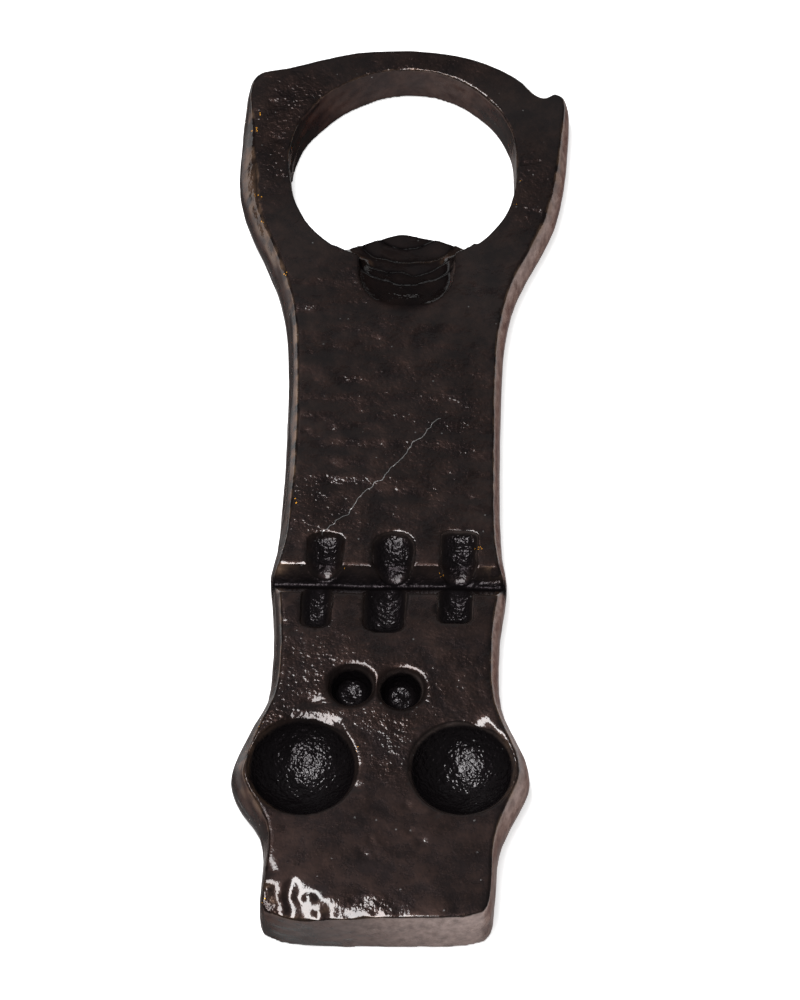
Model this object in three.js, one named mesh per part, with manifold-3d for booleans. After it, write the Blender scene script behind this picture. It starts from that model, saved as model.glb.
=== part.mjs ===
// Hand-forged bottle opener, made from one piece of flat steel bar.
// Units are millimetres. The opener lies flat on its back: +X across its width,
// +Y towards the ring, +Z up through its thickness. The origin is at the middle
// of the footprint, on the surface that the back lies on.
import * as THREE from 'three';
import { mergeVertices } from 'three/addons/utils/BufferGeometryUtils.js';
import Module from 'manifold-3d';

const wasm = await Module();
wasm.setup();

// ---- driving dimensions ----

const PLAIN_END_Y = -76;
const END_THICKNESS = 9.2;       // the bar is thickest at its plain end
const THINNING = 0.0156;         // thickness lost for each mm towards the ring

const EDGE_ROUND = 1.2;          // how far the hammered edges round in from the side
const EDGE_DEPTH = 1.6;          // how far down the side that rounding reaches
const STEPS_PER_STATION = 2;     // points on the outline from one station to the next

const HOLE = { x: -0.1, y: 54.25, radius: 17.2 };
const HOLE_LOWER_DEPTH = 18.6;   // the hole reaches a little further on the tongue's side
const HOLE_SQUARENESS = 2.25;    // and is a little squarer there: 2 would be an ellipse
const HOLE_STEPS = 72;

const TONGUE_ROOT_Y = 31;        // inside the bar, where the tongue grows from
const DISH = { x: 0.95, y: 33.75, radius: 6.9, sides: 24 };

const GROOVE = { y: -21.1, width: 4.8, depth: 2.1 };
const GROOVE_ROOT = 0.4;         // half the width of the groove's blunt bottom

const PAST = 3;                  // how far each cutter runs past the surface it cuts
const HALF_SPAN = 28;            // wider than half of the widest place

// the tapered punch for the nostrils, and the ball punch for the eyes
const NOSTRIL_DEPTH = 3.6;
const EYE_DEPTH = 4.3;
const TOOTH_DEPTH = 2.4;

function thicknessAt(y) {
  return END_THICKNESS - THINNING * (y - PLAIN_END_Y);
}

// ---- outline of the forging ----

// left and right edges of the bar at stations along its length
const FLANKS = [
  // y, left, right
  [-74.6, -16.0, 14.9],
  [-72.0, -16.6, 16.1],
  [-65.0, -16.4, 16.5],
  [-61.0, -17.1, 17.2],
  [-57.0, -19.8, 18.9],
  [-54.0, -21.4, 20.3],          // the sides bulge beside the eye sockets
  [-51.5, -21.6, 20.9],
  [-48.0, -20.5, 20.2],
  [-44.0, -18.8, 18.2],
  [-40.0, -17.0, 16.7],
  [-35.0, -16.5, 16.2],
  [-28.0, -16.6, 16.3],
  [-23.0, -17.1, 16.9],
  [-19.0, -17.5, 17.1],          // the groove's lips stand out a little
  [-15.0, -16.7, 16.4],
  [-8.0, -16.3, 15.9],
  [6.0, -16.1, 15.7],            // the handle keeps the bar's own width
  [20.0, -16.5, 15.9],
  [26.0, -17.2, 16.5],
  [32.0, -18.7, 17.9],
  [38.0, -21.2, 20.5],
  [45.0, -24.2, 23.4],           // the ring's shoulders
  [52.0, -25.4, 24.7],
  [59.0, -25.3, 25.2],
  [65.0, -25.0, 25.4],
];

const PLAIN_END = [[-9.7, -76.1], [0.1, -75.8], [9.0, -75.6]];

// the rim over the hole, from the small nib at its right corner, past the notch beside it
// and round to the left corner
const RING_TOP = [
  [25.0, 67.5], [24.0, 68.3], [22.8, 68.6], [21.5, 67.8], [20.1, 68.5], [18.5, 70.4],
  [15.4, 72.7], [10.0, 75.0], [4.0, 76.1], [-1.5, 76.2], [-8.0, 75.6], [-14.0, 73.9],
  [-19.2, 72.2], [-22.8, 71.3], [-24.5, 69.4],
];

function smoothLoop(points) {
  const corners = points.map(([x, y]) => new THREE.Vector3(x, y, 0));
  const curve = new THREE.CatmullRomCurve3(corners, true, 'centripetal');
  const spaced = curve.getPoints(points.length * STEPS_PER_STATION).slice(0, -1);
  return spaced.map((p) => new THREE.Vector2(p.x, p.y));
}

function bodyOutline() {
  const right = FLANKS.map(([y, , x]) => [x, y]);
  const left = FLANKS.map(([y, x]) => [x, y]).reverse();
  return smoothLoop([...PLAIN_END, ...right, ...RING_TOP, ...left]);
}

// ---- solids ----

function toSolid(geometry) {
  geometry.deleteAttribute('normal');
  geometry.deleteAttribute('uv');
  const merged = mergeVertices(geometry, 1e-4);
  return new wasm.Manifold(new wasm.Mesh({
    numProp: 3,
    vertProperties: merged.attributes.position.array,
    triVerts: Uint32Array.from(merged.index.array),
  }));
}

function toGeometry(solid) {
  const mesh = solid.getMesh();
  const geometry = new THREE.BufferGeometry();
  geometry.setAttribute('position', new THREE.BufferAttribute(mesh.vertProperties, 3));
  geometry.setIndex(new THREE.BufferAttribute(mesh.triVerts, 1));
  geometry.computeVertexNormals();
  return geometry;
}

// an upright prism from one height to another
function prism(points, low, high) {
  const geometry = new THREE.ExtrudeGeometry(new THREE.Shape(points), {
    depth: high - low,
    bevelEnabled: false,
  });
  geometry.translate(0, 0, low);
  return toSolid(geometry);
}

// a lengthwise profile, given as [y, z], carried right across the width
function crossBar(profile, low, high) {
  const points = profile.map(([y, z]) => new THREE.Vector2(y, z));
  const geometry = new THREE.ExtrudeGeometry(new THREE.Shape(points), {
    depth: high - low,
    bevelEnabled: false,
  });
  geometry.rotateX(Math.PI / 2);
  geometry.rotateZ(Math.PI / 2);
  geometry.translate(low, 0, 0);
  return toSolid(geometry);
}

// the flat bar with rounded edges, thinning towards the ring
function blank() {
  const geometry = new THREE.ExtrudeGeometry(new THREE.Shape(bodyOutline()), {
    depth: END_THICKNESS - 2 * EDGE_DEPTH,
    bevelSize: EDGE_ROUND,
    bevelOffset: -EDGE_ROUND,
    bevelThickness: EDGE_DEPTH,
    bevelSegments: 3,
  });
  geometry.translate(0, 0, EDGE_DEPTH);
  const position = geometry.attributes.position;
  for (let i = 0; i < position.count; i += 1) {
    const thinned = thicknessAt(position.getY(i)) / END_THICKNESS;
    position.setZ(i, position.getZ(i) * thinned);
  }
  return toSolid(geometry);
}

// ---- the ring: hole, lifting tongue and the dish behind it ----

// everything under the sloping top of the tongue and of the dish
function underRamp() {
  const ramp = [[50, 0.9], [44.5, 1.0], [40, 1.4], [35, 2.5], [32, 3.5], [29.5, 5.0], [27, 7.7]];
  const floor = [[20, 7.7], [20, -PAST], [50, -PAST]];
  return crossBar([...ramp, ...floor].reverse(), -HALF_SPAN, HALF_SPAN);
}

function holeOutline() {
  const points = [];
  for (let i = 0; i < HOLE_STEPS; i += 1) {
    const angle = (2 * Math.PI * i) / HOLE_STEPS;
    const lower = Math.sin(angle) < 0;
    const power = lower ? 2 / HOLE_SQUARENESS : 1;
    const reach = lower ? HOLE_LOWER_DEPTH : HOLE.radius;
    const across = Math.sign(Math.cos(angle)) * Math.abs(Math.cos(angle)) ** power;
    const along = Math.sign(Math.sin(angle)) * Math.abs(Math.sin(angle)) ** power;
    points.push(new THREE.Vector2(HOLE.x + HOLE.radius * across, HOLE.y + reach * along));
  }
  return points;
}

function tongue() {
  const edge = new THREE.SplineCurve([
    [12.6, 38.8], [8.3, 41.6], [3.9, 43.4], [0.4, 44.4], [-2.8, 43.4], [-7.2, 40.7], [-11.2, 37.6],
  ].map(([x, y]) => new THREE.Vector2(x, y)));
  const root = [-11.2, 12.6].map((x) => new THREE.Vector2(x, TONGUE_ROOT_Y));
  return prism([...edge.getPoints(20), ...root], -PAST, END_THICKNESS).intersect(underRamp());
}

function dish() {
  const points = [];
  for (let i = 0; i <= DISH.sides; i += 1) {
    const angle = Math.PI + (Math.PI * i) / DISH.sides;
    points.push(new THREE.Vector2(
      DISH.x + DISH.radius * Math.cos(angle),
      DISH.y + DISH.radius * Math.sin(angle),
    ));
  }
  points.push(new THREE.Vector2(DISH.x + DISH.radius, HOLE.y));
  points.push(new THREE.Vector2(DISH.x - DISH.radius, HOLE.y));
  return prism(points, 0, END_THICKNESS + PAST).subtract(underRamp());
}

function ringHole() {
  return prism(holeOutline(), -PAST, END_THICKNESS + PAST).subtract(tongue()).add(dish());
}

// ---- the face: groove, teeth, nostrils and eye sockets ----

// a punch standing on the front face; its profile is [radius, depth] from tip to rim,
// with both scaled to the size given
function punch(profile, x, y, halfWidth, halfLength, depth, sides) {
  const points = profile.map(([radius, down]) => new THREE.Vector2(radius, -down * depth));
  const [rim] = profile.at(-1);
  points.push(new THREE.Vector2(rim, PAST));
  points.push(new THREE.Vector2(0, PAST));
  const geometry = new THREE.LatheGeometry(points, sides);
  geometry.rotateX(Math.PI / 2);
  geometry.scale(halfWidth, halfLength, 1);
  geometry.translate(x, y, thicknessAt(y));
  return toSolid(geometry);
}

function groove() {
  const top = thicknessAt(GROOVE.y);
  const bottom = top - GROOVE.depth;
  const slope = GROOVE.depth / (GROOVE.width / 2 - GROOVE_ROOT);
  const mouth = GROOVE.width / 2 + PAST;
  const profile = [
    [GROOVE.y - mouth, top + slope * PAST],
    [GROOVE.y - GROOVE_ROOT, bottom],
    [GROOVE.y + GROOVE_ROOT, bottom],
    [GROOVE.y + mouth, top + slope * PAST],
  ];
  return crossBar(profile, -HALF_SPAN, HALF_SPAN);
}

// three marks above the groove and three below it
const TEETH = [
  // x, y, half width, half length
  [-9.4, -17.1, 2.5, 3.8],
  [0.5, -17.2, 3.1, 4.1],
  [10.0, -16.6, 2.6, 4.1],
  [-10.6, -26.3, 2.3, 2.7],
  [-0.4, -26.2, 3.0, 3.3],
  [9.7, -25.4, 2.5, 2.6],
];

const NOSTRILS = [
  // x, y, radius
  [-4.9, -38.6, 3.6],
  [2.3, -39.0, 3.55],
];

const EYES = [
  // x, y, radius
  [-11.4, -51.9, 7.6],
  [11.2, -51.6, 7.5],
];

function teeth() {
  const profile = [[0, 1], [0.45, 0.97], [0.75, 0.7], [1, 0], [1.1, -0.2]];
  return TEETH.map(([x, y, wide, long]) => punch(profile, x, y, wide, long, TOOTH_DEPTH, 20));
}

function nostrils() {
  const profile = [[0, 1], [0.48, 1], [0.82, 0.3], [1, 0], [1.1, -0.15]];
  return NOSTRILS.map(([x, y, r]) => punch(profile, x, y, r, r, NOSTRIL_DEPTH, 28));
}

function eyes() {
  const profile = [];
  for (let i = 0; i <= 8; i += 1) {
    const angle = (Math.PI / 2) * (i / 8);
    profile.push([Math.sin(angle), Math.cos(angle)]);
  }
  return EYES.map(([x, y, r]) => punch(profile, x, y, r, r, EYE_DEPTH, 40));
}

// ---- the forging ----

function forging() {
  let solid = blank().subtract(ringHole()).subtract(groove());
  for (const mark of [...teeth(), ...nostrils(), ...eyes()]) {
    solid = solid.subtract(mark);
  }
  return toGeometry(solid);
}

const steel = new THREE.MeshStandardMaterial({ color: 0x2a2421, roughness: 0.35, metalness: 0.7 });
const body = new THREE.Mesh(forging(), steel);
body.name = 'forged_body';

const group = new THREE.Group();
group.add(body);

export default group;
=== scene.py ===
"""The looks of a hand-forged bottle opener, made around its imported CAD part.

The forging is modelled as a field of distances: outline, hole, tongue and punch marks are
taken from each other with rounded edges, the field's zero surface becomes the mesh, and the
hammered skin is pressed into that. Lengths are in millimetres until the mesh is made.
"""

import math

import bmesh
import bpy
import numpy as np
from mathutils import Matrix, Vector


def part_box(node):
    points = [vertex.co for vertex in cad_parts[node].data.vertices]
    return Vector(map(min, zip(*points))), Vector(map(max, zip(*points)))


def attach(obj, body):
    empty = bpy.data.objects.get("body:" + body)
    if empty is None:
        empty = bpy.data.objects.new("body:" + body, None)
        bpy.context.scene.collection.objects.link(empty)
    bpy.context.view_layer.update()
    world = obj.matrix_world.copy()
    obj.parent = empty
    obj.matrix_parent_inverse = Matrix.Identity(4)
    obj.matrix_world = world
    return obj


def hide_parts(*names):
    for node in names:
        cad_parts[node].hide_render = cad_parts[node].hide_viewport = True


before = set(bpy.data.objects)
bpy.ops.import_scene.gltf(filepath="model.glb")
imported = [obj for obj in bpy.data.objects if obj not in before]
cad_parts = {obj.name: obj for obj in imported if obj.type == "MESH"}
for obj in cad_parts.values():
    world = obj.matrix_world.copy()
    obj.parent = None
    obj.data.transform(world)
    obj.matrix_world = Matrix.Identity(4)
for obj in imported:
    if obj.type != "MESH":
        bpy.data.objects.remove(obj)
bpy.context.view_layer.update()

MM = 0.001
NODE = "forged_body"

# ---- driving dimensions, in millimetres ----

LOW, HIGH = (np.array(corner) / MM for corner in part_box(NODE))
END_Y = LOW[1]
RING_Y = HIGH[1]
END_THICKNESS = HIGH[2]
RING_THICKNESS = 6.8

HOLE_CENTRE = (-0.1, 54.3)
HOLE_RADIUS = 17.2
DISH_CENTRE = (0.95, 33.75)
DISH_RADIUS = 7.0
GROOVE_Y = -21.1

PITCH = 0.25   # the grid that the field is measured on
MARGIN = 1.0                           # room around the forging on that grid
FACES = 190_000                        # triangles left in the finished mesh
WELD = 1e-6
TINY = 1e-12                           # keeps a division away from zero


# ---- sections of the CAD part ----

def section(node, height):
    """The closed loops that a level cut leaves of a CAD node, as arrays of x, y."""
    mesh = bmesh.new()
    mesh.from_mesh(node.data)
    bmesh.ops.remove_doubles(mesh, verts=mesh.verts, dist=WELD)
    everything = mesh.verts[:] + mesh.edges[:] + mesh.faces[:]
    bmesh.ops.bisect_plane(
        mesh, geom=everything, dist=WELD,
        plane_co=(0, 0, height * MM), plane_no=(0, 0, 1),
        clear_outer=True, clear_inner=True,
    )
    loops = []
    left = set(mesh.verts)
    while left:
        corner = left.pop()
        loop = [corner]
        while corner is not None:
            ahead = [e.other_vert(corner) for e in corner.link_edges]
            corner = next((v for v in ahead if v in left), None)
            if corner is not None:
                left.remove(corner)
                loop.append(corner)
        loops.append(np.array([v.co[:2] for v in loop]) / MM)
    mesh.free()
    return loops


def length_of(loop):
    return np.ptp(loop[:, 1])


def around(loops, centre):
    """The smallest of the loops that goes round a point."""
    point_x, point_y = (np.array([value]) for value in centre)
    found = [p for p in loops if len(p) > 2 and distance_to(p, point_x, point_y)[0] < 0]
    return min(found, key=length_of)


CORNER_CUTS = 2          # how often the corners of a loop are cut
CUT = 0.25               # where, as a share of each side


def rounded(loop):
    """A closed loop with its corners cut into a smooth curve."""
    for _ in range(CORNER_CUTS):
        ahead = np.roll(loop, -1, axis=0)
        early = (1 - CUT) * loop + CUT * ahead
        late = CUT * loop + (1 - CUT) * ahead
        loop = np.stack([early, late], axis=1).reshape(-1, 2)
    return loop


OUTLINE_HEIGHT = 0.45 * END_THICKNESS    # where each section is cut
LOW_HOLE_HEIGHT = 0.07 * END_THICKNESS
HIGH_HOLE_HEIGHT = 0.68 * END_THICKNESS
IN_HOLE = (HOLE_CENTRE[0], 60)           # a place inside the hole at every height


def outline_of(node):
    return max(section(node, OUTLINE_HEIGHT), key=length_of)


def hole_of(node, height):
    return around(section(node, height), IN_HOLE)


# ---- distances and rounded joins ----

def distance_to(loop, x, y):
    """The distance from each point to a closed loop, negative inside it."""
    nearest = np.full(x.shape, np.inf)
    inside = np.zeros(x.shape, bool)
    for (ax, ay), (bx, by) in zip(loop, np.roll(loop, -1, axis=0)):
        ex, ey = bx - ax, by - ay
        along = ((x - ax) * ex + (y - ay) * ey) / max(ex * ex + ey * ey, TINY)
        along = np.clip(along, 0, 1)
        gap = (x - ax - along * ex) ** 2 + (y - ay - along * ey) ** 2
        nearest = np.minimum(nearest, gap)
        if ey != 0:
            inside ^= ((ay > y) != (by > y)) & (x < ax + (y - ay) * ex / ey)
    return np.where(inside, -1, 1) * np.sqrt(nearest)


def line_distance(x, y, start, end):
    """The distance from each point to a straight line from start to end."""
    ex, ey = end[0] - start[0], end[1] - start[1]
    along = ((x - start[0]) * ex + (y - start[1]) * ey) / (ex * ex + ey * ey)
    along = np.clip(along, 0, 1)
    return np.hypot(x - start[0] - along * ex, y - start[1] - along * ey)


def smooth_max(a, b, radius):
    """The larger of two distances, with the corner between them rounded."""
    blend = np.clip(0.5 + 0.5 * (a - b) / radius, 0, 1)
    return b + (a - b) * blend + radius * blend * (1 - blend)


def smooth_min(a, b, radius):
    return -smooth_max(-a, -b, radius)


def ramp(value, start, end):
    """0 before start, 1 after end, and an even curve between them."""
    t = np.clip((value - start) / (end - start), 0, 1)
    return t * t * (3 - 2 * t)


def bell(value, middle, reach):
    """1 at the middle, falling away evenly on both sides."""
    return np.exp(-((value - middle) / reach) ** 2)


TABLE_SIZE = 65536                       # a power of two
HASH = (73856093, 19349663, 83492791)    # large odd numbers that scatter the grid's corners


def noise(points, size, seed):
    """Smooth random values from -1 to 1. size is how far they reach, along each axis."""
    table = np.random.default_rng(seed).uniform(-1, 1, TABLE_SIZE)
    place = points / np.asarray(size, float)
    cell = np.floor(place).astype(np.int64)
    part = place - cell
    part = part * part * (3 - 2 * part)
    total = np.zeros(len(points))
    for corner in np.ndindex(2, 2, 2):
        at = cell + corner
        key = (at[:, 0] * HASH[0]) ^ (at[:, 1] * HASH[1]) ^ (at[:, 2] * HASH[2])
        weight = np.prod(np.where(corner, part, 1 - part), axis=1)
        total += weight * table[key & (TABLE_SIZE - 1)]
    return total


def flat_noise(x, y, size, seed):
    points = np.stack([x.ravel(), y.ravel(), np.zeros(x.size)], axis=1)
    return noise(points, (*size, 1), seed).reshape(x.shape)


def uneven(x, y, height, size, seed):
    """Smooth random heights over the face, up and down.

    The triples named below, such as GROOVE_WAVER, are its height, size and seed.
    """
    return height * flat_noise(x, y, size, seed)


def pressed(x, y, height, size, seed):
    """Smooth random depths over the face, from 0 to twice height."""
    return height * (1 + flat_noise(x, y, size, seed))


def beaten(points, height, size, seed):
    """Smooth random depths all round the forging, from 0 to twice height."""
    return height * (1 + noise(points, size, seed))


# ---- the face and what is punched into it ----

def hole_angle(x, y):
    """The direction from the hole's centre to each place, in degrees."""
    return np.degrees(np.arctan2(y - HOLE_CENTRE[1], x - HOLE_CENTRE[0]))


def face_plane(y):
    """The height of the face before it is hammered: it falls evenly towards the ring."""
    return END_THICKNESS + (RING_THICKNESS - END_THICKNESS) * (y - END_Y) / (RING_Y - END_Y)


GROOVE_DEPTH = 2.1
GROOVE_ROOT = 0.08             # half the width of its blunt root
GROOVE_TILT = 0.011            # how much it climbs towards the right
GROOVE_SLOPES = (0.80, 0.96)   # fall of the wall nearer the ring, and of the other
GROOVE_WAVER = (0.16, (4, 50), 11)
FORK_X = 8                     # where the second, fainter cut leaves the groove
FORK_GAP = 0.35                # how far it is from the groove's middle there
FORK_TILT = 0.09
FORK_DEPTH = 0.16
FORK_WIDTH = 0.18


def groove_depth(x, y):
    """A chisel groove right across, with a second, fainter cut beside its right end."""
    middle = GROOVE_Y + GROOVE_TILT * x + uneven(x, y, *GROOVE_WAVER)
    across = np.abs(y - middle)
    fall = np.where(y > middle, *GROOVE_SLOPES)
    fork_y = middle + FORK_GAP + FORK_TILT * (x - FORK_X)
    fork = FORK_DEPTH * bell(y, fork_y, FORK_WIDTH) * ramp(x, FORK_X - 1, FORK_X + 2)
    return GROOVE_DEPTH - fall * np.maximum(across - GROOVE_ROOT, 0) + fork


# Each tooth mark: x, its ends in y, half width, depth, how far in from each end the floor
# comes up, and how square its corners are (2 would be an ellipse). The upper ones were
# pressed into the groove's wall, and the lower ones run out into the groove.
UPPER_TEETH = [
    (-9.45, -13.2, -20.4, 2.60, 1.15, 1.9, 4.0, 2.6),
    (0.50, -12.9, -20.9, 3.10, 1.35, 2.6, 4.4, 2.2),
    (9.95, -12.4, -20.7, 2.65, 1.20, 1.5, 4.2, 3.0),
]
LOWER_TEETH = [
    (-10.40, -20.6, -29.1, 2.20, 1.25, 1.0, 1.7, 3.2),
    (-0.45, -20.6, -29.7, 3.05, 1.50, 1.0, 2.2, 3.0),
    (9.65, -20.6, -28.0, 2.60, 1.35, 1.0, 1.7, 3.6),
]
LIP_HEIGHT = 0.08      # metal pushed up around a punch mark
LIP_WIDTH = 0.35
TOOTH_WOBBLE = (0.12, (1.8, 1.8), 20)
TOOTH_FLOOR = (0.10, (0.8, 0.8), 21)


def tooth_depth(x, y, mark):
    """How deep a tooth mark is at each place, and 0 or less outside it."""
    middle, top, bottom, half_width, depth, top_reach, bottom_reach, squareness = mark
    wobble = uneven(x, y, *TOOTH_WOBBLE)
    across = np.abs(x - middle + wobble) / half_width
    past_top = (y + wobble - top + top_reach) / top_reach
    past_bottom = (bottom + bottom_reach - y - wobble) / bottom_reach
    along = np.maximum(np.maximum(past_top, past_bottom), 0)
    outward = (across ** squareness + along ** squareness) ** (1 / squareness)
    inside = np.clip(1 - outward ** 2, 0, 1)
    lip = LIP_HEIGHT * bell(half_width * (outward - 1), LIP_WIDTH, LIP_WIDTH)
    floor = uneven(x, y, *TOOTH_FLOOR) * ramp(inside, 0.4, 0.8)
    return depth * np.sqrt(inside) - lip + floor


# x, y of each nostril
NOSTRILS = [(-4.85, -38.6), (2.25, -39.0)]
# distance from the punch's middle, and depth there: floor, wall and rolled rim
NOSTRIL_RADII = [0.0, 1.6, 2.1, 2.8, 3.1, 3.5, 3.9, 4.5]
NOSTRIL_DEPTHS = [3.6, 3.5, 3.0, 1.3, 0.55, 0.22, 0.06, 0.0]
NOSTRIL_FLOOR = (0.16, (0.75, 0.75), 31)


def nostril_depth(x, y, centre):
    """How deep a nostril is at each place, with its rolled rim."""
    away = np.hypot(x - centre[0], y - centre[1])
    depth = np.interp(away, NOSTRIL_RADII, NOSTRIL_DEPTHS)
    floor = uneven(x, y, *NOSTRIL_FLOOR) * ramp(away, 2.3, 1.4)
    return depth + floor


# Each eye socket: x, y, rim radius, width of the rolled rim on its upper side, and where
# that is wider: angle round the rim and spread, in degrees, and extra width.
EYES = [
    (-11.4, -51.9, 7.90, 0.20, [(60, 17, 2.3), (90, 16, 1.4), (105, 6, 0.8)]),
    (11.2, -51.6, 7.60, 0.40, [(72, 14, 2.2), (42, 14, 1.0), (125, 16, 0.5)]),
]
EYE_DEPTH = 4.5
ROLL_SLOPE = 0.40        # fall of the rolled rim where it meets the socket
ROLL_WAVER = (0.045, (1.0, 1.0), 44)
EYE_CRINKLES = [(0.09, (1.2, 1.2), 41), (0.06, (0.6, 0.6), 42)]
CRINKLE_START = 0.8      # how far inside the rim the crinkles begin, and are at their fullest
CRINKLE_FULL = 2.6
NO_SOCKET = -2.0         # a depth well above the face, outside the socket's ball


def eye_depth(x, y, eye):
    """How deep an eye socket is at each place, with its rolled rim."""
    centre_x, centre_y, rim, roll, bulges = eye
    away = np.hypot(x - centre_x, y - centre_y)
    ball = (rim ** 2 + EYE_DEPTH ** 2) / (2 * EYE_DEPTH)
    bowl = np.sqrt(np.maximum(ball ** 2 - away ** 2, 0)) - (ball - EYE_DEPTH)
    bowl = np.where(away < ball, bowl, NO_SOCKET)
    upper = ramp((y - centre_y) / np.maximum(away, TINY), 0.1, 0.5)
    angle = np.degrees(np.arctan2(y - centre_y, x - centre_x))
    width = roll + sum(extra * bell(angle, at, spread) for at, spread, extra in bulges)
    reach = np.clip(rim + width - away, 0, width)
    rolled = ROLL_SLOPE * upper * reach ** 2 / (2 * width)
    rolled = rolled + uneven(x, y, *ROLL_WAVER) * ramp(reach, 0, 0.8)
    crinkle = sum(uneven(x, y, *layer) for layer in EYE_CRINKLES)
    inner = ramp(away, rim - CRINKLE_START, rim - CRINKLE_FULL)
    return smooth_max(bowl, rolled, 0.25) + crinkle * inner


TERRACE_CENTRE = (0.7, 47.0)
TERRACES = [(6.0, 0.20), (9.3, 0.25), (11.6, 0.25), (14.0, 0.15)]   # distance from it, height
TERRACE_STEP = 0.2       # half the width of each small step
TERRACE_WAVER = (0.4, (2.2, 2.2), 51)
# the sloping top of the tongue and of the dish behind it: distance from that centre, height
DISH_FLOOR = [(0, 1.8), (2.5, 1.9), (7, 2.6), (12, 3.6), (16.5, 5.4), (20.4, 7.2)]


def terrace_distance(x, y):
    """The distance from the terraces' centre, a little wavy."""
    away = np.hypot(x - TERRACE_CENTRE[0], y - TERRACE_CENTRE[1])
    return away + uneven(x, y, *TERRACE_WAVER)


def dish_height(x, y):
    """The terraced floor of the dish: the tool left a small step at each blow."""
    away = terrace_distance(x, y)
    height = np.interp(away, *np.array(DISH_FLOOR).T)
    for radius, step in TERRACES:
        climbed = ramp(away, radius - TERRACE_STEP, radius + TERRACE_STEP)
        height = height + step * (climbed - 0.5)
    return height


def dish_distance(x, y):
    """The distance to the dish's rim: a half circle that opens straight into the hole."""
    side = np.abs(x - DISH_CENTRE[0])
    round_end = np.hypot(side, y - DISH_CENTRE[1])
    slot = np.where(y < DISH_CENTRE[1], round_end, side) - DISH_RADIUS
    return np.maximum(slot, y - HOLE_CENTRE[1])


DISH_WALLS = (1.0, 2.6)  # how far in from its rim the dish reaches its floor: end, sides
DISH_CORNER = 0.8        # how rounded the dish's rim is where it meets the hole


def dish_share(x, y, hole_high):
    """How much of the way down from the face to the dish's floor each place is."""
    dish = smooth_min(hole_high, dish_distance(x, y), DISH_CORNER)
    wall = DISH_WALLS[0] + (DISH_WALLS[1] - DISH_WALLS[0]) * ramp(y, 27, 33)
    inward = np.clip(-dish / wall, 0, 1)
    return np.sqrt(1 - (1 - inward) ** 2)


DROP_Y = -72.3           # where the plain end's face starts to dip
DROP_EARLY = 2.4         # how much sooner it does at the left
DROP_WAVER = (0.8, (1.7, 50), 61)
DROP_SLOPES = (0.02, 0.24)   # the dip's slope on the right, and how much more on the left
DROP_BEND = 0.25         # how softly the slope begins
LUMP_DEPTHS = (0.06, 0.12)   # the lumps' depth on the right, and how much more on the left
LUMP_SIZE = (1.6, 1.1)
LUMP_SEED = 65
CORNER_DROP = 0.35       # how much further the left corner is beaten down


def end_drop(x, y):
    """The last blows on the plain end: its face dips, most of all at the left corner."""
    start = DROP_Y + DROP_EARLY * ramp(-x, 5, 13) + uneven(x, y, *DROP_WAVER)
    past = np.maximum(start - y, 0)
    slope = DROP_SLOPES[0] + DROP_SLOPES[1] * ramp(-x, -2, 7)
    lumpy = LUMP_DEPTHS[0] + LUMP_DEPTHS[1] * ramp(-x, -5, 2)
    lumps = lumpy * flat_noise(x, y, LUMP_SIZE, LUMP_SEED) * ramp(past, 0.1, 1.2)
    corner = CORNER_DROP * ramp(-x, 13.6, 16.5) * ramp(past, 0.3, 1.5)
    return slope * past ** 2 / (past + DROP_BEND) + lumps + corner


# small dents in the face: x, y, reach across and along, depth
DENTS = [
    (-10.4, -41.6, 1.3, 0.8, 0.26), (-13.9, 25.4, 1.3, 0.9, 0.14), (-3.1, 20.9, 1.0, 0.6, 0.10),
    (-4.0, 16.2, 0.9, 0.8, 0.11), (-9.3, -4.6, 0.9, 0.9, 0.10), (11.4, -7.0, 0.8, 0.5, 0.10),
    (-15.8, -68.4, 0.8, 1.3, 0.30), (-19.6, 57.8, 1.1, 0.6, 0.13), (-18.7, 50.5, 1.4, 0.5, 0.12),
    (-20.5, 64.6, 0.8, 0.7, 0.12), (12.2, 14.3, 1.0, 0.5, 0.09), (10.3, 8.5, 1.0, 0.4, 0.08),
]
# chisel nicks: both ends, depth
NICKS = [
    ((17.9, 54.1), (20.6, 54.6), 0.13),
    ((18.4, 45.5), (20.9, 45.0), 0.09),
    ((20.9, 45.0), (21.3, 43.0), 0.09),
    ((19.2, 43.1), (18.3, 44.6), 0.09),
    ((-1.5, -63.0), (-0.3, -66.2), 0.025),
]
NICK_WIDTH = 0.3
SPECKS = 90                # tiny dents strewn over the face
SPECK_SIZES = (0.3, 0.7)
SPECK_DEPTH = 0.12         # as a share of its size
SPECK_SEED = 91
SPECKS_X = (-25, 25)
SPECKS_Y = (-70, 75)


def small_marks(x, y):
    """How deep the dents, nicks and specks in the face are."""
    total = np.zeros(x.shape)
    draw = np.random.default_rng(SPECK_SEED)
    strewn = [
        (draw.uniform(*SPECKS_X), draw.uniform(*SPECKS_Y), size, size, SPECK_DEPTH * size)
        for size in draw.uniform(*SPECK_SIZES, SPECKS)
    ]
    for middle_x, middle_y, reach_x, reach_y, depth in DENTS + strewn:
        total += depth * bell(x, middle_x, reach_x) * bell(y, middle_y, reach_y)
    for start, end, depth in NICKS:
        total += depth * bell(line_distance(x, y, start, end), 0, NICK_WIDTH)
    return total


RIPPLES = (0.07, (11, 13), 71)
BLOWS = (0.05, (7, 1.6), 72)   # short ridges across the handle, left by the hammer
BLOWS_ELSEWHERE = 0.15         # how much of them the rest of the face has


def face_ripples(x, y):
    """The hammered skin of the face, always pressed in and never standing out."""
    handle = ramp(y, -14, -6) * ramp(-y, -36, -28)
    blows = pressed(x, y, *BLOWS) * (BLOWS_ELSEWHERE + handle)
    return pressed(x, y, *RIPPLES) + blows + small_marks(x, y)


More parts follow.
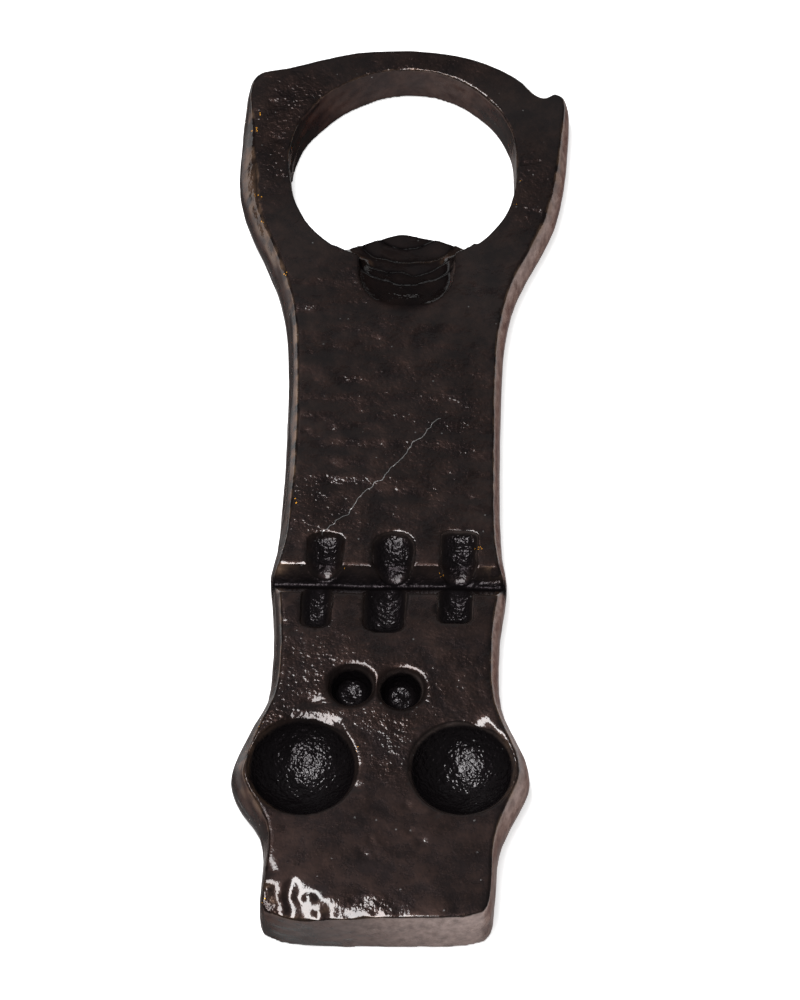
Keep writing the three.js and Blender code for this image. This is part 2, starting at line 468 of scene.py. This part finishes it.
HOLE_ROLL = 1.0          # the face turns down towards the hole, widest at its upper right
HOLE_ROLL_AT = (48, 32)  # angle round the hole where it is widest, and spread
HOLE_ROLL_SLOPE = 0.5
HOLE_ROLL_LEAST = 0.2


def hole_roll(x, y, hole_high):
    """How far the face has turned down beside the hole."""
    width = HOLE_ROLL_LEAST + HOLE_ROLL * bell(hole_angle(x, y), *HOLE_ROLL_AT)
    reach = np.clip(width - hole_high, 0, width)
    return HOLE_ROLL_SLOPE * reach ** 2 / (2 * width)


GROOVE_EDGE = 0.2        # how rounded the edges are: of the groove, lower teeth and sockets
TOOTH_EDGE = 0.12
SOCKET_EDGE = 0.1
CLEAR = 0.2              # outside a lower tooth its surface is held this far above the face


def top_surface(x, y, hole_high):
    """The height of the face, with everything that is punched into it."""
    plane = face_plane(y) - face_ripples(x, y) - hole_roll(x, y, hole_high)
    top = plane - end_drop(x, y)
    top = smooth_min(top, plane - groove_depth(x, y), GROOVE_EDGE)
    for mark in UPPER_TEETH:
        top = top - tooth_depth(x, y, mark)
    for mark in LOWER_TEETH:
        depth = tooth_depth(x, y, mark)
        top = smooth_min(top, plane - depth + CLEAR * (depth <= 0), TOOTH_EDGE)
    for nostril in NOSTRILS:
        top = smooth_min(top, plane - nostril_depth(x, y, nostril), SOCKET_EDGE)
    for eye in EYES:
        top = smooth_min(top, plane - eye_depth(x, y, eye), SOCKET_EDGE)
    dished = np.minimum(dish_height(x, y), top)
    return top + (dished - top) * dish_share(x, y, hole_high)


# ---- the whole forging as a field ----

# how far in the front edge sits from the widest place: station y, left side, right side
EDGE_INSETS = [
    (-76, 0.3, 0.4), (-60, 1.2, 1.0), (-51, 2.4, 1.9), (-42, 1.5, 1.4), (-20, 1.3, 1.2),
    (0, 1.9, 1.1), (20, 1.7, 1.3), (30, 1.8, 1.2), (38, 1.9, 1.1), (46, 2.4, 1.6),
    (51, 3.0, 1.6), (60, 2.1, 1.3), (66, 0.8, 0.9), (76, 0.7, 0.8),
]
BACK_INSET = 1.0         # how far the side rounds in at the back; the plain end is square
BACK_INSET_Y = (-73, -62)   # where that begins, and where it is full
WIDEST = 0.42            # the height of the widest place, as a share of the thickness
HOLE_FLARE = 0.3         # how much further out the hole's wall stands at the face
HOLE_WAVER = (0.2, (5, 5), 75)
EDGE_RADIUS = 0.5
BACK_EDGE_RADIUS = 0.15
HOLE_EDGE_RADIUS = 0.35
SKIN = 0.12              # metal outside the sections, which the hammering takes off again
DRIFT_LEAN = 1.1         # how far the hole's upper left wall leans in towards the back
DRIFT_LEAN_AT = (137, 34)   # angle round the hole where it leans most, and spread


def edge_inset(x, y):
    """How far in from the widest place the front edge sits, all round."""
    stations, left, right = np.array(EDGE_INSETS).T
    share = ramp(x, -6, 6)
    return (1 - share) * np.interp(y, stations, left) + share * np.interp(y, stations, right)


def hole_lean(x, y):
    """How far in the hole's wall stands at the back, all round."""
    return DRIFT_LEAN * bell(hole_angle(x, y), *DRIFT_LEAN_AT)


def field_of(node):
    """Distances to the forging's surface on a grid, with the grid's lowest corner."""
    outline = rounded(outline_of(node))
    low_hole = rounded(hole_of(node, LOW_HOLE_HEIGHT))
    high_hole = rounded(hole_of(node, HIGH_HOLE_HEIGHT))

    lowest = LOW - MARGIN
    counts = np.ceil((HIGH + MARGIN - lowest) / PITCH).astype(int) + 1
    axes = [lowest[i] + PITCH * np.arange(counts[i]) for i in range(3)]
    x, y = np.meshgrid(axes[0], axes[1], indexing="ij")

    outer = distance_to(outline, x, y) - SKIN
    hole = -distance_to(low_hole, x, y) + uneven(x, y, *HOLE_WAVER)
    top = top_surface(x, y, distance_to(high_hole, x, y))
    inset = edge_inset(x, y)
    lean = hole_lean(x, y)
    back_inset = BACK_INSET * ramp(y, *BACK_INSET_Y)
    plane = face_plane(y)
    middle = WIDEST * plane

    field = np.empty(counts, np.float32)
    for layer, z in enumerate(axes[2]):
        above = np.clip((z - middle) / (plane - middle), 0, 1.2)
        below = np.clip((middle - z) / middle, 0, 1.2)
        side = outer + inset * above ** 2 + back_inset * below ** 2
        body = smooth_max(side, z - top, EDGE_RADIUS)
        body = smooth_max(body, -z, BACK_EDGE_RADIUS)
        drifted = hole + HOLE_FLARE * above - lean * np.clip(1 - z / plane, 0, 1)
        field[:, :, layer] = smooth_max(body, drifted, HOLE_EDGE_RADIUS)
    return field, lowest


def surface_net(field, lowest):
    """The field's zero surface: a point in each cell that it crosses, joined in fours."""
    cells = tuple(n - 1 for n in field.shape)
    total = np.zeros((*cells, 3), np.float32)
    count = np.zeros(cells, np.int8)
    edges = []
    for axis in range(3):
        turn = (axis, (axis + 1) % 3, (axis + 2) % 3)
        turned = field.transpose(turn)
        start, end = turned[:-1], turned[1:]
        crossed = (start < 0) != (end < 0)
        part = np.zeros_like(start)
        part[crossed] = start[crossed] / (start[crossed] - end[crossed])
        sums, counts = total.transpose(*turn, 3), count.transpose(turn)
        for u, v in np.ndindex(2, 2):
            near = (slice(None), slice(u, u + counts.shape[1]), slice(v, v + counts.shape[2]))
            met = crossed[near]
            sums[..., turn[0]] += part[near]
            sums[..., turn[1]] += u * met
            sums[..., turn[2]] += v * met
            counts += met
        edges.append((turn, crossed, start < 0))
    used = count > 0
    points = np.argwhere(used) + total[used] / count[used][:, None]
    number = np.full(cells, -1)
    number[used] = np.arange(len(points))

    quads = []
    for turn, crossed, leaving in edges:
        numbers = number.transpose(turn)
        inner = (slice(None), slice(1, -1), slice(1, -1))
        met, out = crossed[inner], leaving[inner]
        ring = [
            numbers[:, :-1, :-1], numbers[:, 1:, :-1], numbers[:, 1:, 1:], numbers[:, :-1, 1:],
        ]
        for side, order in ((met & out, ring), (met & ~out, ring[::-1])):
            quads.append(np.stack([corner[side] for corner in order], axis=1))
    return lowest + PITCH * points, np.concatenate(quads)


# ---- the mesh ----

def mesh_from(name, points, quads):
    mesh = bpy.data.meshes.new(name)
    mesh.vertices.add(len(points))
    mesh.vertices.foreach_set("co", (points * MM).astype(np.float32).ravel())
    mesh.loops.add(quads.size)
    mesh.loops.foreach_set("vertex_index", quads.astype(np.int32).ravel())
    mesh.polygons.add(len(quads))
    mesh.polygons.foreach_set("loop_start", np.arange(0, quads.size, 4, dtype=np.int32))
    mesh.update(calc_edges=True)
    return mesh


def points_of(mesh):
    flat = np.empty(3 * len(mesh.vertices), np.float32)
    mesh.vertices.foreach_get("co", flat)
    return flat.reshape(-1, 3).astype(float) / MM


def normals_of(mesh):
    flat = np.empty(3 * len(mesh.vertices), np.float32)
    mesh.vertex_normals.foreach_get("vector", flat)
    return flat.reshape(-1, 3).astype(float)


def move_points(mesh, points):
    inside = np.clip(points, LOW, HIGH)
    mesh.vertices.foreach_set("co", (inside * MM).astype(np.float32).ravel())
    mesh.update()


# what beat the skin in: height, size, seed
SKIN_DENTS = [(0.05, 2.6, 81), (0.03, 1.1, 82)]
SIDE_STREAKS = (0.09, (2.0, 7.0, 1.1), 83)
BACK_BLOWS = (0.16, (9.0, 7.0, 4.0), 84)
FACE_DENTS = (0.15, 0.55)      # share of the dents that the face has below the eyes, and more above
SIDE_DENTS = 0.7               # share of the dents that the sides have
STREAKS = (0.3, 0.7)           # share of the streaks on the right side, and more on the left
LEVEL = (0.5, 0.9)             # how level a face has to be to count as the front or the back


def hammered(points, normals):
    """How far the scale, the hammer and the drift pressed each point in."""
    upward = ramp(normals[:, 2], *LEVEL)
    downward = ramp(-normals[:, 2], *LEVEL)
    sideways = 1 - upward - downward
    x, y = points[:, 0], points[:, 1]
    dents = sum(beaten(points, *layer) for layer in SKIN_DENTS)
    streaks = beaten(points, *SIDE_STREAKS)
    back = beaten(points, *BACK_BLOWS) + dents
    calm = FACE_DENTS[0] + FACE_DENTS[1] * ramp(y, -62, -52)
    streaked = STREAKS[0] + STREAKS[1] * ramp(-x, -2, 8)
    side = dents * SIDE_DENTS + streaks * streaked
    return upward * calm * dents + sideways * side + downward * back


def thin_out(piece, faces):
    """Leave flat places in fewer, larger faces."""
    triangles = sum(len(p.vertices) - 2 for p in piece.data.polygons)
    if triangles > faces:
        modifier = piece.modifiers.new("thin", "DECIMATE")
        modifier.ratio = faces / triangles
        evaluated = piece.evaluated_get(bpy.context.evaluated_depsgraph_get())
        mesh = bpy.data.meshes.new_from_object(evaluated)
        piece.modifiers.clear()
        piece.data = mesh


# ---- how strong the fine detail is, from place to place ----

# where the lacquered scale is rough: x, y, reach across and along, strength
ROUGH_PATCHES = [
    (-9, -37, 8, 8, 0.60), (-15, -46, 6, 4, 0.8), (9, -38, 8, 8, 0.45), (1, -48, 4, 7, 0.60),
    (-11, -9, 7, 7, 0.70), (4, -6, 10, 12, 0.42), (-2, 15, 14, 14, 0.42), (11, 10, 5, 12, 0.35),
    (-20, 57, 5, 12, 1.00), (-15, 66, 6, 5, 0.9), (20, 50, 6, 12, 0.80), (4, 73, 18, 5, 0.85),
    (-6, 32, 8, 6, 0.60), (-1, -74, 7, 2, 0.40), (-15.5, -74, 2, 3, 0.9),
]
ROUGH_MOST = 1.5
# where the face has specks of gold colour: x, y, reach
GOLD_PATCHES = [
    (-3.3, -49.1, 0.7), (12.8, -15.0, 0.8), (17.9, 50.6, 0.6), (17.3, 46.8, 0.6),
    (-23.4, 59.7, 0.9), (-22.2, 47.0, 0.9), (-21.5, 42.6, 0.8), (-17.2, 32.5, 0.9),
    (-14.9, 24.6, 0.6), (-17.8, -45.3, 0.7), (-21.2, -48.5, 0.8), (15.0, -74.8, 0.6),
    (-14.6, -8.0, 0.9), (-14.8, 7.0, 0.5), (10.3, -33.0, 0.5), (-4.5, -29.5, 0.6),
    (-22.5, 62.8, 0.7), (-15.9, -73.0, 0.5), (7.5, -19.5, 0.5), (-6.5, -18.8, 0.5),
]


def mark_depth(x, y):
    """How deep each place is inside the punch marks and the groove."""
    marks = [tooth_depth(x, y, mark) for mark in UPPER_TEETH + LOWER_TEETH]
    marks += [nostril_depth(x, y, nostril) for nostril in NOSTRILS]
    marks += [2 * eye_depth(x, y, eye) - 0.6 for eye in EYES]
    return np.maximum.reduce([*marks, 0.6 * groove_depth(x, y)])


# the thin brown line painted along the face's left edge: partly edge wear, partly a painted
# highlight of the edge
LEFT_EDGE = [
    (-24.3, 65.4), (-23.1, 59.7), (-23.4, 55.8), (-22.4, 51.1), (-22.1, 46.4), (-21.4, 42.6),
    (-19.1, 37.1), (-17.4, 32.5), (-16.3, 28.4), (-15.3, 22.4), (-14.8, 13.3), (-14.5, -4.4),
]
EDGE_LINE_WIDTH = 0.16

# each place below: where its middle is, and its reach
NOSTRIL_RIM = (3.3, 0.6)       # out from the nostril's middle
GROOVE_FLANKS = (0, 3.0)       # across the groove
GROOVE_BOTTOM = (-0.4, 0.9)
GROOVE_RIM = (2.7, 0.5)
SIDE_RIM = (-1.6, 1.5)         # out from the outline
TEETH_ROWS = (GROOVE_Y, 9)     # along the opener
HOLE_RIM_REACH = 1.0
HOLE_WALL_REACH = 3            # walls this near the hole's edge belong to the hole
TERRACE_EDGE_REACH = 0.4
PUNCHED_DEPTHS = (0.25, 1.1)   # how deep a place has to be to count as punched
PUNCHED_ABOVE = 0.3 * END_THICKNESS   # punched places are all above this height
SIDE_FILM = (0.04, 0.26)       # the film's share on the sides, and how much more on the ends


def rough_share(x, y):
    """How rough each place is: 1 in the middle of a full patch, and more where two meet."""
    patches = sum(
        amount * bell(x, at_x, reach_x) * bell(y, at_y, reach_y)
        for at_x, at_y, reach_x, reach_y, amount in ROUGH_PATCHES
    )
    return np.clip(patches, 0, ROUGH_MOST)


def gold_share(x, y):
    return sum(bell(x, at_x, reach) * bell(y, at_y, reach) for at_x, at_y, reach in GOLD_PATCHES)


def edge_line_share(x, y):
    """1 along the brown line at the left edge."""
    pieces = [line_distance(x, y, start, end) for start, end in zip(LEFT_EDGE, LEFT_EDGE[1:])]
    return bell(np.minimum.reduce(pieces), 0, EDGE_LINE_WIDTH)


def strengths(points, normals, outline):
    """The named strengths, about 0 to 1, that the material reads at each point."""
    x, y, z = points.T
    upward = ramp(normals[:, 2], 0.35, 0.75)
    downward = ramp(-normals[:, 2], *LEVEL)
    endwise = normals[:, 1] ** 2
    punched = ramp(mark_depth(x, y), *PUNCHED_DEPTHS) * (z > PUNCHED_ABOVE)
    past_groove = y - GROOVE_Y - GROOVE_TILT * x
    in_groove = bell(past_groove, *GROOVE_FLANKS)
    groove_root = bell(past_groove, *GROOVE_BOTTOM)
    groove_rim = bell(past_groove, *GROOVE_RIM) * ramp(x, -13, -8)
    nostril_rims = sum(bell(np.hypot(x - at_x, y - at_y), *NOSTRIL_RIM) for at_x, at_y in NOSTRILS)
    rough = rough_share(x, y)
    turning = ramp(normals[:, 2], 0.35, 0.6) * ramp(-normals[:, 2], -0.97, -0.85)
    near_side = bell(distance_to(outline, x, y), *SIDE_RIM)
    from_hole = np.hypot(x - HOLE_CENTRE[0], y - HOLE_CENTRE[1])
    near_hole = bell(from_hole, HOLE_RADIUS, HOLE_RIM_REACH)
    in_hole = (1 - upward - downward) * (from_hole < HOLE_RADIUS + HOLE_WALL_REACH)
    in_dish = ramp(-dish_distance(x, y), -0.6, 0.2) * (1 - downward)
    from_terraces = terrace_distance(x, y)
    terrace = sum(bell(from_terraces, radius, TERRACE_EDGE_REACH) for radius, _ in TERRACES)
    among_teeth = punched * bell(y, *TEETH_ROWS)
    # how much of the film each place lacks
    less_film = [
        0.55 * in_dish,
        0.7 * in_dish * terrace,
        0.7 * bell(dish_distance(x, y), 0, 0.9),
        0.55 * punched,
        0.75 * among_teeth,
        0.8 * groove_root,
        0.85 * groove_rim,
        0.5 * nostril_rims,
        0.75 * np.minimum(rough, 1),
        0.8 * near_side * ramp(-x, 6, 10) * bell(y, -60, 9),
    ]
    on_side = SIDE_FILM[0] + SIDE_FILM[1] * endwise
    film = upward + (1 - upward) * on_side * (1 - 0.5 * in_hole)
    # the edges and the rim of the hole are painted a lighter brown: partly edge wear, partly a
    # painted highlight of the edges
    rubbed_and_highlit = turning * (0.6 * near_side + 0.5 * near_hole) * (1 - punched)
    return {
        "rough": rough * upward * (1 - punched),
        "crinkled": punched * (1 - 0.75 * in_groove),
        "film": film * np.prod([1 - np.clip(share, 0, 1) for share in less_film], axis=0),
        "edge_wear_and_highlight": np.clip(rubbed_and_highlit + 0.7 * edge_line_share(x, y) * upward, 0, 1),
        "gold": np.clip(gold_share(x, y), 0, 1) * upward,
        # painted shade: darker in the punch marks and the dish, and darkest on the dish's steps
        "hollow_shade": np.clip(punched + in_dish * (0.4 + 0.6 * terrace), 0, 1),
        # dry scale on the sides and back, painted lighter towards the right as painted light, and
        # darker on the hole's walls as painted shade
        "bare_with_painted_light": (1 - upward) * (1 - 0.85 * in_hole) * (0.15 + 0.85 * ramp(x, -12, 14)),
    }


def set_strengths(mesh, outline):
    for name, values in strengths(points_of(mesh), normals_of(mesh), outline).items():
        layer = mesh.attributes.new(name, "FLOAT", "POINT")
        layer.data.foreach_set("value", values.astype(np.float32))


def forging():
    """The finished piece: the field's surface, hammered, thinned out and marked for shading."""
    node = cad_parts[NODE]
    points, quads = surface_net(*field_of(node))
    mesh = mesh_from("forging", points, quads)
    normals = normals_of(mesh)
    move_points(mesh, points - normals * hammered(points, normals)[:, None])
    piece = bpy.data.objects.new("forging", mesh)
    bpy.context.scene.collection.objects.link(piece)
    bpy.context.view_layer.update()
    thin_out(piece, FACES)
    move_points(piece.data, points_of(piece.data))
    set_strengths(piece.data, outline_of(node))
    piece.data.polygons.foreach_set("use_smooth", np.ones(len(piece.data.polygons), bool))
    return piece


# ---- materials ----

NOISE_RANGE = (0.3, 0.7)   # nearly all values of a noise texture lie between these


class Shading:
    """A new material, with a short call for each kind of node that it uses."""

    def __init__(self, name):
        self.material = bpy.data.materials.new(name)
        self.material.use_nodes = True
        self.tree = self.material.node_tree
        self.shader = self.tree.nodes["Principled BSDF"]
        self.place = self.tree.nodes.new("ShaderNodeTexCoord").outputs["Object"]

    def feed(self, value, socket):
        """A number or colour is set on the socket, and a node's output is linked to it."""
        if isinstance(value, bpy.types.NodeSocket):
            self.tree.links.new(value, socket)
        else:
            socket.default_value = value

    def use(self, name, value):
        self.feed(value, self.shader.inputs[name])

    def attribute(self, name):
        node = self.tree.nodes.new("ShaderNodeAttribute")
        node.attribute_name = name
        return node.outputs["Fac"]

    def noise(self, scale, detail=2.0, roughness=0.5):
        node = self.tree.nodes.new("ShaderNodeTexNoise")
        self.feed(self.place, node.inputs["Vector"])
        self.feed(scale, node.inputs["Scale"])
        self.feed(detail, node.inputs["Detail"])
        self.feed(roughness, node.inputs["Roughness"])
        return node.outputs["Fac"]

    def wander(self, along, scale):
        """Smooth random values along a line."""
        node = self.tree.nodes.new("ShaderNodeTexNoise")
        node.noise_dimensions = "1D"
        self.feed(along, node.inputs["W"])
        self.feed(scale, node.inputs["Scale"])
        return node.outputs["Fac"]

    def cells(self, scale):
        """The distance to the nearest of many strewn points, and a random value for each."""
        node = self.tree.nodes.new("ShaderNodeTexVoronoi")
        self.feed(self.place, node.inputs["Vector"])
        self.feed(scale, node.inputs["Scale"])
        return node.outputs["Distance"], node.outputs["Color"]

    def specks(self, scale, reach, rarity):
        """1 inside small round specks, strewn at random, and 0 between them."""
        nearest, chance = self.cells(scale)
        close = self.math("LESS_THAN", nearest, reach)
        return self.times(close, self.math("GREATER_THAN", chance, rarity))

    def math(self, operation, *values):
        node = self.tree.nodes.new("ShaderNodeMath")
        node.operation = operation
        for value, socket in zip(values, node.inputs):
            self.feed(value, socket)
        return node.outputs[0]

    def times(self, first, *others):
        for other in others:
            first = self.math("MULTIPLY", first, other)
        return first

    def add(self, first, *others):
        for other in others:
            first = self.math("ADD", first, other)
        return first

    def across(self, direction):
        """How far each place is along a direction."""
        node = self.tree.nodes.new("ShaderNodeVectorMath")
        node.operation = "DOT_PRODUCT"
        self.feed(self.place, node.inputs[0])
        self.feed(direction, node.inputs[1])
        return node.outputs["Value"]

    def spread(self, value, low, high, to_low=0.0, to_high=1.0):
        node = self.tree.nodes.new("ShaderNodeMapRange")
        for given, socket in zip((value, low, high, to_low, to_high), node.inputs):
            self.feed(given, socket)
        return node.outputs["Result"]

    def relief(self, height, *fineness):
        """Random heights, from 0 to height."""
        return self.spread(self.noise(*fineness), *NOISE_RANGE, 0.0, height)

    def mix(self, share, first, second):
        node = self.tree.nodes.new("ShaderNodeMix")
        node.data_type = "RGBA"
        self.feed(share, node.inputs[0])
        self.feed(first, node.inputs[6])
        self.feed(second, node.inputs[7])
        return node.outputs[2]


BLACK_SCALE = (0.014, 0.010, 0.010, 1)
BROWN_SCALE = (0.033, 0.020, 0.017, 1)
DRY_SCALE = (0.24, 0.185, 0.170, 1)
HOLLOW_SHADE_COLOUR = (0.010, 0.008, 0.009, 1)
RUBBED_EDGE_AND_HIGHLIGHT = (0.17, 0.105, 0.07, 1)
GOLD = (0.95, 0.42, 0.04, 1)
PALE = (0.42, 0.42, 0.42, 1)
WHITE = (1, 1, 1, 1)

PATCH_NOISE = (260, 8.0, 0.72)   # each noise: how fine, how detailed, how rough
DRY_NOISE = (700, 6.0, 0.7)
EDGE_MARK_NOISE = (420, 3.0)
PALE_SPECKS = (650, 0.09, 0.72)         # each kind of speck: how fine, its reach, how rare
PALE_SPECK_SHARE = 0.22
GOLD_SPECKS = (2800, 0.32, 0.62)


def steel_colour(s):
    """Black and brown scale, with a lighter brown along the edges that is partly wear and partly a
    painted highlight, dry scale on the sides with painted light and shade, painted shade in the
    hollows, and gold and pale specks.
    """
    patches = s.spread(s.noise(*PATCH_NOISE), 0.40, 0.68)
    colour = s.mix(patches, BLACK_SCALE, BROWN_SCALE)
    # dry scale on the sides and back, with painted light towards the right and painted shade on the
    # hole's walls
    dry_with_painted_light = s.times(s.attribute("bare_with_painted_light"), s.spread(s.noise(*DRY_NOISE), 0.35, 0.65, 0.45, 1.0))
    colour = s.mix(dry_with_painted_light, colour, DRY_SCALE)
    # painted shade in the punch marks and the dish
    colour = s.mix(s.attribute("hollow_shade"), colour, HOLLOW_SHADE_COLOUR)

    # a lighter brown along the edges: partly edge wear, partly a painted edge highlight
    rubbed_and_highlit = s.times(s.attribute("edge_wear_and_highlight"), s.spread(s.noise(*EDGE_MARK_NOISE), 0.42, 0.60))
    colour = s.mix(rubbed_and_highlit, colour, RUBBED_EDGE_AND_HIGHLIGHT)
    colour = s.mix(s.times(s.specks(*PALE_SPECKS), PALE_SPECK_SHARE), colour, PALE)

    gold_here = s.math("GREATER_THAN", s.attribute("gold"), 0.5)
    colour = s.mix(s.times(s.specks(*GOLD_SPECKS), gold_here), colour, GOLD)
    return s.mix(scratch(s), colour, PALE)


SCRATCH_START = (6.8, 7.1)
SCRATCH_END = (-9.9, -13.6)
SCRATCH_WIDTH = 0.07
SCRATCH_SWAY = 2.6       # how far it wanders from side to side, in all
SCRATCH_WANDER = 260     # how often it does
SCRATCH_SHARE = 0.5      # how strongly it shows


def scratch(s):
    """One long, wandering hairline across the handle."""
    start, end = (np.array(p) * MM for p in (SCRATCH_START, SCRATCH_END))
    length = np.linalg.norm(end - start)
    ahead = (end - start) / length
    aside = np.array([-ahead[1], ahead[0]])
    along = s.add(s.across((*ahead, 0)), -float(start @ ahead))
    most = SCRATCH_SWAY / 2 * MM
    sway = s.spread(s.wander(along, SCRATCH_WANDER), 0.0, 1.0, -most, most)
    off = s.math("ABSOLUTE", s.add(s.across((*aside, 0)), -float(start @ aside), sway))
    line = s.spread(off, SCRATCH_WIDTH * 0.5 * MM, SCRATCH_WIDTH * MM, 1.0, 0.0)
    begun = s.math("GREATER_THAN", along, 0.0)
    over = s.math("LESS_THAN", along, float(length))
    on_face = s.math("LESS_THAN", s.attribute("bare_with_painted_light"), 0.1)
    return s.times(line, begun, over, on_face, SCRATCH_SHARE)


GRAIN_HEIGHT = 0.006     # heights of the fine detail, in millimetres
LUMP_HEIGHT = 0.032
ROUGH_HEIGHT = 0.055
CRINKLE_HEIGHT = 0.085
GRAIN_FINENESS = 2800
LUMP_FINENESS = 520
ROUGH_FINENESS = 1700
CRINKLE_FINENESS = 1900
LOW_DETAIL = 1.0


def steel_height(s):
    """The fine relief: grain and lumps everywhere, rough patches, crinkles in the marks."""
    grain = s.relief(GRAIN_HEIGHT, GRAIN_FINENESS)
    lumps = s.relief(LUMP_HEIGHT, LUMP_FINENESS)
    scale = s.relief(ROUGH_HEIGHT, ROUGH_FINENESS, LOW_DETAIL)
    crinkles = s.relief(CRINKLE_HEIGHT, CRINKLE_FINENESS, LOW_DETAIL)
    lumpy = s.times(lumps, s.spread(s.attribute("rough"), 0.0, 0.4, 0.35, 1.0))
    rough = s.times(scale, s.attribute("rough"))
    crinkled = s.times(crinkles, s.attribute("crinkled"))
    return s.add(grain, lumpy, rough, crinkled)


METAL_SHARE = 0.7
METAL_ROUGHNESS = (0.24, 0.36)
ROUGHNESS_NOISE = (240, 3.0)
METAL_SHEEN = (0.22, 0.19, 0.18, 1)   # the colour of the steel's reflections at a low angle
LACQUER_ROUGHNESS = 0.05
LACQUER_IOR = 1.5


def steel_material():
    """Dark forged steel under a thin clear lacquer, which ran thin on the sides."""
    s = Shading("lacquered_steel")
    bump = s.tree.nodes.new("ShaderNodeBump")
    bump.inputs["Strength"].default_value = 1.0
    bump.inputs["Distance"].default_value = MM
    s.feed(steel_height(s), bump.inputs["Height"])

    s.use("Base Color", steel_colour(s))
    s.use("Roughness", s.spread(s.noise(*ROUGHNESS_NOISE), 0.35, 0.65, *METAL_ROUGHNESS))
    s.use("Normal", bump.outputs["Normal"])
    s.use("Metallic", METAL_SHARE)
    s.use("Specular IOR Level", 0.0)
    s.use("Specular Tint", METAL_SHEEN)
    s.use("Coat Weight", s.attribute("film"))
    s.use("Coat Normal", bump.outputs["Normal"])
    s.use("Coat Roughness", LACQUER_ROUGHNESS)
    s.use("Coat IOR", LACQUER_IOR)
    return s.material


PAPER = ((0.86, 0.86, 0.86, 1), (0.90, 0.90, 0.90, 1))
PAPER_FINENESS = 60
PAPER_ROUGHNESS = 0.9
PAPER_GLOW = 0.65        # a lit table: it keeps the shadow under the opener faint


def floor_material():
    s = Shading("paper_floor")
    s.use("Base Color", s.mix(s.noise(PAPER_FINENESS), *PAPER))
    s.use("Roughness", PAPER_ROUGHNESS)
    s.use("Emission Color", WHITE)
    s.use("Emission Strength", PAPER_GLOW)
    return s.material


# ---- the studio ----

# lengths in metres from here on
FLOOR_HALF = 1.5
FLOOR_DROP = 0.0001      # it lies just under the opener's back
SURROUNDINGS = 0.08      # strength of the even light from all round
# each light: name, place, what it faces, size, watts
LIGHTS = [
    ("beyond", (0, 0.95, 0.95), (0, 0.05, 0), (1.3, 0.55), 0.35),
    ("overhead", (-0.18, -0.04, 0.9), (0, 0, 0), (0.82, 0.26), 11.5),
]


def floor():
    half = FLOOR_HALF
    corners = [(-half, -half, 0), (half, -half, 0), (half, half, 0), (-half, half, 0)]
    mesh = bpy.data.meshes.new("floor")
    mesh.from_pydata(corners, [], [(0, 1, 2, 3)])
    piece = bpy.data.objects.new("floor", mesh)
    piece.location.z = -FLOOR_DROP
    bpy.context.scene.collection.objects.link(piece)
    piece.data.materials.append(floor_material())


def soft_light(name, place, aim, size, watts):
    data = bpy.data.lights.new(name, "AREA")
    data.shape = "RECTANGLE"
    data.size, data.size_y = size
    data.energy = watts
    light = bpy.data.objects.new(name, data)
    light.location = place
    light.rotation_euler = (Vector(aim) - Vector(place)).to_track_quat("-Z", "Y").to_euler()
    bpy.context.scene.collection.objects.link(light)


def surroundings(strength):
    world = bpy.data.worlds.new("studio")
    world.use_nodes = True
    background = world.node_tree.nodes["Background"]
    background.inputs["Color"].default_value = WHITE
    background.inputs["Strength"].default_value = strength
    bpy.context.scene.world = world


CAMERA_AIM = (0.0011, -0.0050, 0.0040)
CAMERA_DISTANCE = 0.65
CAMERA_AZIMUTH = math.radians(1.67)
CAMERA_ELEVATION = math.radians(59)
CAMERA_LENS = 158.4


def camera():
    data = bpy.data.cameras.new("camera")
    data.lens = CAMERA_LENS
    data.clip_start = 0.01
    back = Vector((
        math.sin(CAMERA_AZIMUTH) * math.cos(CAMERA_ELEVATION),
        -math.cos(CAMERA_AZIMUTH) * math.cos(CAMERA_ELEVATION),
        math.sin(CAMERA_ELEVATION),
    ))
    piece = bpy.data.objects.new("camera", data)
    piece.location = Vector(CAMERA_AIM) + CAMERA_DISTANCE * back
    piece.rotation_euler = back.to_track_quat("Z", "Y").to_euler()
    bpy.context.scene.collection.objects.link(piece)
    bpy.context.scene.camera = piece


# ---- the scene ----

camera()
floor()
surroundings(SURROUNDINGS)
for light in LIGHTS:
    soft_light(*light)
bpy.context.scene.view_settings.view_transform = "Standard"

body = forging()
body.data.materials.append(steel_material())
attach(body, "root")
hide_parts(NODE)
